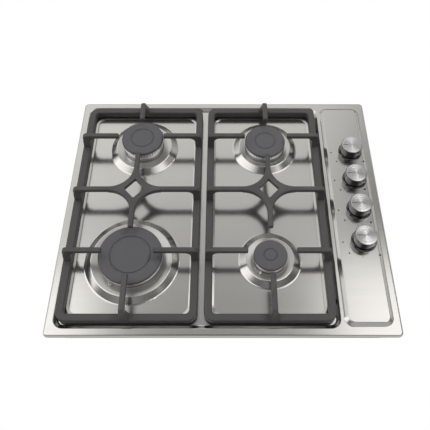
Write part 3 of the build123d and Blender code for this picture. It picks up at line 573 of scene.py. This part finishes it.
@finish_named("ceramic_pin")
def paint_ceramic(board, scene):
    """White glaze with a steel pin above it."""
    place = board.place()
    _, _, height = board.parts(place)
    steel = height.calculate("GREATER_THAN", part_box("front_left_spark_electrode")[0].z + ELECTRODE_STAND)
    mottle = board.noise(place, 500.0, 3.0, 0.5)
    glaze = board.mix(mottle, (0.80, 0.78, 0.72), (0.9, 0.88, 0.83))
    pin = board.mix(mottle, (0.45, 0.44, 0.43), (0.6, 0.59, 0.57))
    rough = 0.22 + mottle * 0.1 + steel * 0.1
    board.surface(Base_Color=board.mix(steel, glaze, pin), Metallic=steel, Roughness=rough)


@finish_named("galvanised")
def paint_galvanised(board, scene):
    """Zinc in flat spangles of several tones."""
    place = board.place()
    spangle = board.node("ShaderNodeTexVoronoi", {}, {"Vector": place, "Scale": 190.0}, output="Color")
    tone, second, _ = board.parts(spangle)
    fine = board.noise(place, 900.0, 2.0, 0.5)
    colour = board.mix(tone, (0.5, 0.515, 0.525), (0.66, 0.675, 0.685))
    rough = 0.34 + (second - 0.5) * 0.16 + (fine - 0.5) * 0.06
    board.surface(Base_Color=colour, Metallic=1.0, Roughness=rough, Normal=board.bump(fine, 0.00003, 0.6))


@finish_named("turned_brass")
def paint_brass(board, scene):
    """Brass with a cloudy tarnish."""
    place = board.place()
    grain = board.noise(place, 700.0, 3.0, 0.55)
    tarnish = board.noise(place, 70.0, 3.0, 0.5)
    colour = board.mix(tarnish, (0.62, 0.46, 0.2), (0.78, 0.61, 0.31))
    rough = 0.28 + grain * 0.16
    board.surface(Base_Color=colour, Metallic=1.0, Roughness=rough, Normal=board.bump(grain, 0.00004, 0.6))


@finish_named("foam_seal")
def paint_foam(board, scene):
    """Black foam with open cells."""
    place = board.place()
    cells = board.node("ShaderNodeTexVoronoi", {}, {"Vector": place, "Scale": 1300.0}, output="Distance")
    colour = board.mix(cells, (0.02, 0.02, 0.021), (0.05, 0.05, 0.052))
    board.surface(Base_Color=colour, Roughness=0.8 + cells * 0.1, Normal=board.bump(cells, 0.0003, 0.8))


# Finishes with one noise: its scale, detail and roughness; the two colours; metal or not; the least
# roughness and what the noise adds; and the bump's distance and strength.
GRAINED_FINISHES = {
    "cast_cup": dict(
        noise=(420.0, 4.0, 0.6), dark=(0.36, 0.36, 0.355), light=(0.5, 0.5, 0.49),
        metal=1.0, rough=(0.42, 0.2), bump=(0.0002, 0.8),
    ),
    "zinc_steel": dict(
        noise=(800.0, 3.0, 0.5), dark=(0.52, 0.53, 0.55), light=(0.66, 0.67, 0.69),
        metal=1.0, rough=(0.3, 0.14), bump=(0.00003, 0.5),
    ),
    "drawn_pipe": dict(
        noise=(600.0, 3.0, 0.5), dark=(0.6, 0.6, 0.61), light=(0.74, 0.74, 0.75),
        metal=1.0, rough=(0.3, 0.12), bump=(0.00003, 0.5),
    ),
    "black_plastic": dict(
        noise=(1100.0, 2.0, 0.5), dark=(0.018, 0.018, 0.019), light=(0.036, 0.036, 0.038),
        metal=0.0, rough=(0.5, 0.15), bump=(0.0001, 0.6),
    ),
    "pale_plastic": dict(
        noise=(900.0, 2.0, 0.5), dark=(0.74, 0.73, 0.68), light=(0.84, 0.83, 0.78),
        metal=0.0, rough=(0.42, 0.12), bump=(0.00008, 0.5),
    ),
    "rubber_foot": dict(
        noise=(900.0, 2.0, 0.5), dark=(0.02, 0.02, 0.02), light=(0.04, 0.04, 0.04),
        metal=0.0, rough=(0.6, 0.15), bump=(0.0001, 0.6),
    ),
    "printed_ink": dict(
        noise=(1500.0, 2.0, 0.5), dark=(0.012, 0.012, 0.013), light=(0.024, 0.024, 0.026),
        metal=0.0, rough=(0.45, 0.15), bump=None,
    ),
}


def paint_grained(board, scene, noise, dark, light, metal, rough, bump):
    """A finish whose colour, roughness and relief follow one noise."""
    grain = board.noise(board.place(), *noise)
    least, spread = rough
    relief = board.bump(grain, *bump) if bump else None
    colour = board.mix(grain, dark, light)
    board.surface(Base_Color=colour, Metallic=metal, Roughness=least + grain * spread, Normal=relief)


FINISHES.update({name: partial(paint_grained, **look) for name, look in GRAINED_FINISHES.items()})

NODE_FINISHES = {
    "top_plate": "brushed_plate",
    "worktop_seal": "foam_seal",
    "burner_screws": "zinc_steel",
    "injectors": "turned_brass",
    "knob_bezels": "knob_chrome",
    "ignition_switches": "black_plastic",
    "gas_manifold": "zinc_steel",
    "inlet_elbow": "turned_brass",
    "base_pan": "galvanised",
    "burner_rails": "galvanised",
    "manifold_brackets": "galvanised",
    "worktop_clamps": "zinc_steel",
    "clamp_screws": "zinc_steel",
    "ignition_module": "black_plastic",
    "terminal_block": "pale_plastic",
    "cable_gland": "black_plastic",
}
FINISH_BY_WORD = (
    ("_pan_", "matt_enamel"),
    ("_support_feet", "rubber_foot"),
    ("_burner_cap", "cap_enamel"),
    ("_burner_cup", "cast_cup"),
    ("_flame_spreader", "spreader_aluminium"),
    ("_spark_electrode", "ceramic_pin"),
    ("knob_top_", "spun_top"),
    ("knob_", "knob_chrome"),
    ("tap_spindle_", "zinc_steel"),
    ("tap_plug_", "turned_brass"),
    ("gas_tap_", "turned_brass"),
    ("gas_tube", "drawn_pipe"),
)


def finish_of(node):
    """The finish that a CAD node takes."""
    if node in NODE_FINISHES:
        return NODE_FINISHES[node]
    for word, finish in FINISH_BY_WORD:
        if word in node:
            return finish
    raise RuntimeError(f"no finish for {node}")


# ------------------------------------------------------------------ mesh help
def new_piece(name, mesh, body, finish):
    """A finished mesh that rides on a body."""
    piece = bpy.data.objects.new(name, mesh)
    bpy.context.scene.collection.objects.link(piece)
    mesh.materials.clear()
    mesh.materials.append(material(finish))
    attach(piece, body)
    return piece


def arc(centre, size, start, end, steps):
    """Points on a round of this radius, from one angle to another, in degrees."""
    points = []
    for step in range(steps + 1):
        angle = math.radians(start + (end - start) * step / steps)
        points.append((centre[0] + size * math.cos(angle), centre[1] + size * math.sin(angle)))
    return points


class Geometry:
    """A geometry node tree written in the script, with named inputs."""

    def __init__(self, name):
        self.tree = bpy.data.node_groups.new(name, "GeometryNodeTree")
        self.tree.interface.new_socket("Geometry", in_out="OUTPUT", socket_type="NodeSocketGeometry")
        self.tree.interface.new_socket("Geometry", in_out="INPUT", socket_type="NodeSocketGeometry")
        self.inputs = self.tree.nodes.new("NodeGroupInput")
        self.source = self.inputs.outputs["Geometry"]
        self.identifiers = {}

    def input(self, name, kind="NodeSocketFloat"):
        made = self.tree.interface.new_socket(name, in_out="INPUT", socket_type=kind)
        self.identifiers[name] = made.identifier
        return self.inputs.outputs[name]

    def node(self, kind, settings=None, inputs=None, output=0):
        """Adds a node, sets it up, feeds its sockets and gives one of its outputs."""
        made = self.tree.nodes.new(kind)
        for name, value in (settings or {}).items():
            setattr(made, name, value)
        for name, value in (inputs or {}).items():
            if isinstance(value, bpy.types.NodeSocket):
                self.tree.links.new(value, made.inputs[name])
            else:
                made.inputs[name].default_value = value
        return made.outputs[output]

    def finish(self, geometry, finish):
        """Ends the tree with real geometry in one finish."""
        real = self.node("GeometryNodeRealizeInstances", {}, {"Geometry": geometry})
        painted = self.node("GeometryNodeSetMaterial", {}, {"Geometry": real, "Material": material(finish)})
        end = self.tree.nodes.new("NodeGroupOutput")
        self.tree.links.new(painted, end.inputs[0])

    def run(self, name, mesh, values):
        """Runs the tree on a mesh and gives the result as a plain mesh."""
        holder = bpy.data.objects.new(name + "_source", mesh)
        bpy.context.scene.collection.objects.link(holder)
        modifier = holder.modifiers.new("shape", "NODES")
        modifier.node_group = self.tree
        for key, value in values.items():
            modifier[self.identifiers[key]] = value
        bpy.context.view_layer.update()
        graph = bpy.context.evaluated_depsgraph_get()
        made = bpy.data.meshes.new_from_object(holder.evaluated_get(graph))
        holder.modifiers.remove(modifier)
        bpy.data.objects.remove(holder)
        made.name = name
        return made


def source_mesh(name, points, edges=()):
    """A mesh of points, with or without edges, for a tree to work on."""
    mesh = bpy.data.meshes.new(name)
    mesh.from_pydata(points, edges, [])
    return mesh


def dot_tree():
    """Instances of a thin round dot on every point."""
    shape = Geometry("printed_dots")
    radius = shape.input("Radius")
    ink = shape.input("Ink")
    dot = shape.node(
        "GeometryNodeMeshCylinder", {}, {"Vertices": DOT_FACETS, "Radius": radius, "Depth": ink}, output="Mesh"
    )
    dots = shape.node("GeometryNodeInstanceOnPoints", {}, {"Points": shape.source, "Instance": dot})
    shape.finish(dots, "printed_ink")
    return shape


def profile_mesh(name, profile):
    """A line of edges through (radius, height) pairs, laid out as the lathe reads it."""
    points = [(radius - LATHE_REACH, -height, 0.0) for radius, height in profile]
    return source_mesh(name, points, [(i, i + 1) for i in range(len(points) - 1)])


def lathe_tree(finish):
    """Turns a profile round an upright axis and sets it in its place."""
    shape = Geometry("lathe")
    count = shape.input("Segments", "NodeSocketInt")
    centre = shape.input("Centre", "NodeSocketVector")
    profile = shape.node("GeometryNodeMeshToCurve", {}, {"Mesh": shape.source})
    path = shape.node(
        "GeometryNodeCurvePrimitiveCircle", {"mode": "RADIUS"}, {"Resolution": count, "Radius": LATHE_REACH}
    )
    skin = shape.node(
        "GeometryNodeCurveToMesh", {}, {"Curve": path, "Profile Curve": profile, "Fill Caps": False}
    )
    whole = shape.node("GeometryNodeMergeByDistance", {}, {"Geometry": skin, "Distance": LATHE_MERGE})
    placed = shape.node("GeometryNodeTransform", {}, {"Geometry": whole, "Translation": centre})
    shape.finish(placed, finish)
    return shape


def rings_of(node):
    """The circles of a turned solid, as sorted (radius, height) pairs."""
    piece = NODES[node]
    centre = middle(node)
    found = set()
    for vertex in piece.data.vertices:
        point = piece.matrix_world @ vertex.co
        radius = math.hypot(point.x - centre.x, point.y - centre.y)
        found.add((round(radius, 5), round(point.z, 5)))
    return sorted(found)


def groove_radius(rings, top, least, most, deepest):
    """The smallest circle that lies a little under the top, between two radii."""
    return min(radius for radius, height in rings if least < radius < most and SAME < top - height < deepest)


def cap_profile(node, caps):
    """A cap's outline from the middle of its hollow round to the middle of its top."""
    rings = rings_of(node)
    top = max(height for _, height in rings)
    bottom = min(height for _, height in rings)
    rim = rings[-1][0]
    low = min(height for radius, height in rings if rim - radius < SAME)
    lips = [radius for radius, height in rings if height - bottom < SAME]
    lip_in, lip_out = min(lips), max(lips)
    hollow = max(height for radius, height in rings if radius < lip_in + SAME and height < low + caps.rim_round)
    soft = 2 * caps.rim_round
    groove = groove_radius(rings, top, lip_in / 5, rim - soft, soft)
    edge = caps.edge_round
    profile = [(0.0, hollow), (lip_in, hollow)]
    profile += arc((lip_in + edge, bottom + edge), edge, 180, 270, LIP_STEPS)
    profile += arc((lip_out - edge, bottom + edge), edge, 270, 360, LIP_STEPS)
    profile += [(lip_out, low)]
    profile += arc((rim - edge, low + edge), edge, 270, 360, EDGE_STEPS)
    profile += arc((rim - caps.rim_round, top - caps.rim_round), caps.rim_round, 0, 90, RIM_STEPS)
    for step in range(GROOVE_STEPS + 1):
        done = step / GROOVE_STEPS
        across = 1 - 2 * done
        dip = caps.groove_depth * (0.5 + 0.5 * math.cos(math.pi * across))
        profile.append((groove + across * caps.groove_half, top - max(dip, caps.dome * done)))
    field = groove - caps.groove_half
    for step in range(1, FIELD_STEPS + 1):
        radius = field * (1 - step / FIELD_STEPS)
        profile.append((radius, top - caps.dome * (radius / field) ** 2))
    return profile


def finish_skin(mesh):
    """Faces that look outwards, smooth but for crisp edges."""
    form = bmesh.new()
    form.from_mesh(mesh)
    bmesh.ops.recalc_face_normals(form, faces=form.faces)
    form.to_mesh(mesh)
    form.free()
    mesh.shade_smooth()
    mesh.set_sharp_from_angle(angle=SMOOTH_ANGLE)


# ------------------------------------------------------------------ operators
class HOB_OT_finishes(bpy.types.Operator):
    """Gives every carried-over solid its finish"""

    bl_idname = "hob.finishes"
    bl_label = "Finish the solids"

    def execute(self, context):
        for node, piece in NODES.items():
            piece.data.materials.clear()
            piece.data.materials.append(material(finish_of(node)))
        return {"FINISHED"}


class HOB_OT_caps(bpy.types.Operator):
    """Turns the four burner caps with soft rims and round grooves"""

    bl_idname = "hob.caps"
    bl_label = "Turn the caps"

    def execute(self, context):
        caps = context.scene.hob_caps
        tree = lathe_tree("cap_enamel")
        for name, centre in BURNER_MIDDLES.items():
            node = f"{name}_burner_cap"
            label = f"{name}_turned_cap"
            values = {"Segments": caps.segments, "Centre": (centre.x, centre.y, 0.0)}
            mesh = tree.run(label, profile_mesh(label, cap_profile(node, caps)), values)
            finish_skin(mesh)
            piece = new_piece(label, mesh, f"{name}_cap", "cap_enamel")
            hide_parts(node)
        return {"FINISHED"}


class HOB_OT_marks(bpy.types.Operator):
    """Prints the dots on the panel and sets the pointer lines in the knobs"""

    bl_idname = "hob.marks"
    bl_label = "Print the marks"

    def execute(self, context):
        marks = context.scene.hob_marks
        tree = dot_tree()
        height = PANEL_Z + marks.ink / 2
        for size, places in FLAME_DOTS.items():
            label = f"flame_{size}s"
            points = []
            for knob, right, back in places:
                centre = KNOB_MIDDLES[knob - 1]
                points.append((centre.x + right * MM, centre.y + back * MM, height))
            values = {"Radius": getattr(marks, size), "Ink": marks.ink}
            mesh = tree.run(label, source_mesh(label, points), values)
            new_piece(label, mesh, "hob", "printed_ink")
        for number, centre in zip(KNOB_NUMBERS, KNOB_MIDDLES):
            self.pointer(number, centre, marks)
        return {"FINISHED"}

    @staticmethod
    def pointer(number, centre, marks):
        """A thin line with round ends, from near the rim towards the middle."""
        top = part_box(f"knob_top_{number}")[1].z
        half = marks.line_width / 2
        outer = centre.x - POINTER_START
        inner = outer + marks.line_length
        ring = arc((inner - half, centre.y), half, -90, 90, POINTER_STEPS)
        ring += arc((outer + half, centre.y), half, 90, 270, POINTER_STEPS)
        form = bmesh.new()
        low = [form.verts.new((x, y, top - marks.ink)) for x, y in ring]
        high = [form.verts.new((x, y, top + marks.ink)) for x, y in ring]
        form.faces.new(high)
        form.faces.new(low[::-1])
        for i in range(len(ring)):
            j = (i + 1) % len(ring)
            form.faces.new((low[i], low[j], high[j], high[i]))
        label = f"knob_pointer_{number}"
        mesh = bpy.data.meshes.new(label)
        form.to_mesh(mesh)
        form.free()
        new_piece(label, mesh, f"knob_{number}", "printed_ink")


class HOB_OT_stage(bpy.types.Operator):
    """Sets the floor, the light and the camera"""

    bl_idname = "hob.stage"
    bl_label = "Set the stage"

    def execute(self, context):
        scene = context.scene
        settings = scene.hob_stage
        scene.view_settings.view_transform = "Standard"
        self.floor()
        self.world(scene, settings)
        self.lamp(settings)
        self.camera(scene, settings)
        return {"FINISHED"}

    @staticmethod
    def floor():
        """A floor under the hob, white to the camera and pale grey to everything else."""
        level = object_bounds()[0].z - FLOOR_GAP
        signs = ((-1, -1), (1, -1), (1, 1), (-1, 1))
        mesh = bpy.data.meshes.new("floor")
        mesh.from_pydata([(FLOOR_REACH * x, FLOOR_REACH * y, level) for x, y in signs], [], [(0, 1, 2, 3)])
        floor = bpy.data.objects.new("floor", mesh)
        bpy.context.scene.collection.objects.link(floor)
        paint = bpy.data.materials.new("floor")
        board = Board(paint)
        black = (0.0, 0.0, 0.0)
        white = (1.0, 1.0, 1.0)
        seen = board.node("ShaderNodeLightPath", output="Is Camera Ray")
        grain = board.noise(board.place(), 40.0, 2.0, 0.5)
        colour = board.mix(grain, (0.80, 0.80, 0.80), (0.84, 0.84, 0.84))
        board.surface(
            Base_Color=board.mix(seen, colour, black), Roughness=1.0, Specular_IOR_Level=0.0,
            Emission_Color=board.mix(seen, black, white), Emission_Strength=1.0,
        )
        mesh.materials.append(paint)
        floor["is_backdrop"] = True

    @staticmethod
    def world(scene, settings):
        """A soft studio, white to the camera: brighter to the back, with bright panels at both sides."""
        world = bpy.data.worlds.new("studio")
        scene.world = world
        board = Board(world)
        x, y, z = board.parts(board.node("ShaderNodeTexCoord", output="Generated"))
        lift = z.calculate("MAXIMUM", LOWEST_RISE)
        side = x / lift
        back = y / lift
        level = CEILING_LEVEL
        for start, end, adds in CEILING_STEPS:
            level = level + back.step(start, end) * adds
        start, end, adds = FRONT_STEP
        level = level + (-1.0 * back).step(start, end) * adds
        for patch in STUDIO_PATCHES:
            sideways = (patch["hand"] * side).window(*patch["side"])
            level = level + sideways * back.window(*patch["back"]) * patch["adds"]
        level = level.calculate("MAXIMUM", LOWEST_LIGHT) * settings.ceiling
        seen = board.node("ShaderNodeLightPath", output="Is Camera Ray")
        strength = level * (1.0 - seen) + seen
        shine = board.node("ShaderNodeBackground", {}, {"Color": STUDIO_TINT, "Strength": strength})
        board.node("ShaderNodeOutputWorld", {}, {"Surface": shine})

    @staticmethod
    def lamp(settings):
        """One large soft lamp, high behind the right side."""
        light = bpy.data.lights.new("soft_lamp", "AREA")
        light.shape = "DISK"
        light.size = LAMP_SIZE
        light.energy = settings.lamp
        lamp = bpy.data.objects.new("soft_lamp", light)
        lamp.visible_glossy = False
        lamp.location = LAMP_PLACE
        aim = Vector(LAMP_TARGET) - lamp.location
        lamp.rotation_euler = aim.to_track_quat("-Z", "Y").to_euler()
        bpy.context.scene.collection.objects.link(lamp)

    @staticmethod
    def camera(scene, settings):
        """The camera, where the photograph was taken from."""
        data = bpy.data.cameras.new("photo_camera")
        data.lens = settings.lens
        data.sensor_width = SENSOR_WIDTH
        data.shift_x, data.shift_y = settings.shift
        data.clip_start, data.clip_end = CLIP_RANGE
        camera = bpy.data.objects.new("photo_camera", data)
        camera.location = settings.place
        camera.rotation_euler = (math.radians(90) - settings.pitch, 0.0, 0.0)
        scene.collection.objects.link(camera)
        scene.camera = camera


class HOB_PT_panel(bpy.types.Panel):
    """Lists the hob's steps"""

    bl_idname = "HOB_PT_panel"
    bl_label = "Gas Hob"
    bl_space_type = "VIEW_3D"
    bl_region_type = "UI"
    bl_category = "Gas Hob"

    def draw(self, context):
        for operator in OPERATORS:
            self.layout.operator(operator.bl_idname)
        for name, group in SETTING_GROUPS.items():
            box = self.layout.box()
            for key in group.__annotations__:
                box.prop(getattr(context.scene, name), key)


OPERATORS = (HOB_OT_finishes, HOB_OT_caps, HOB_OT_marks, HOB_OT_stage)
CLASSES = (*SETTING_GROUPS.values(), *OPERATORS, HOB_PT_panel)


def register():
    for made in CLASSES:
        bpy.utils.register_class(made)
    for name, group in SETTING_GROUPS.items():
        setattr(bpy.types.Scene, name, PointerProperty(type=group))


def unregister():
    for name in SETTING_GROUPS:
        delattr(bpy.types.Scene, name)
    for made in reversed(CLASSES):
        bpy.utils.unregister_class(made)


def main():
    register()
    bpy.ops.hob.stage()
    bpy.ops.hob.finishes()
    bpy.ops.hob.caps()
    bpy.ops.hob.marks()


if __name__ == "__main__":
    main()
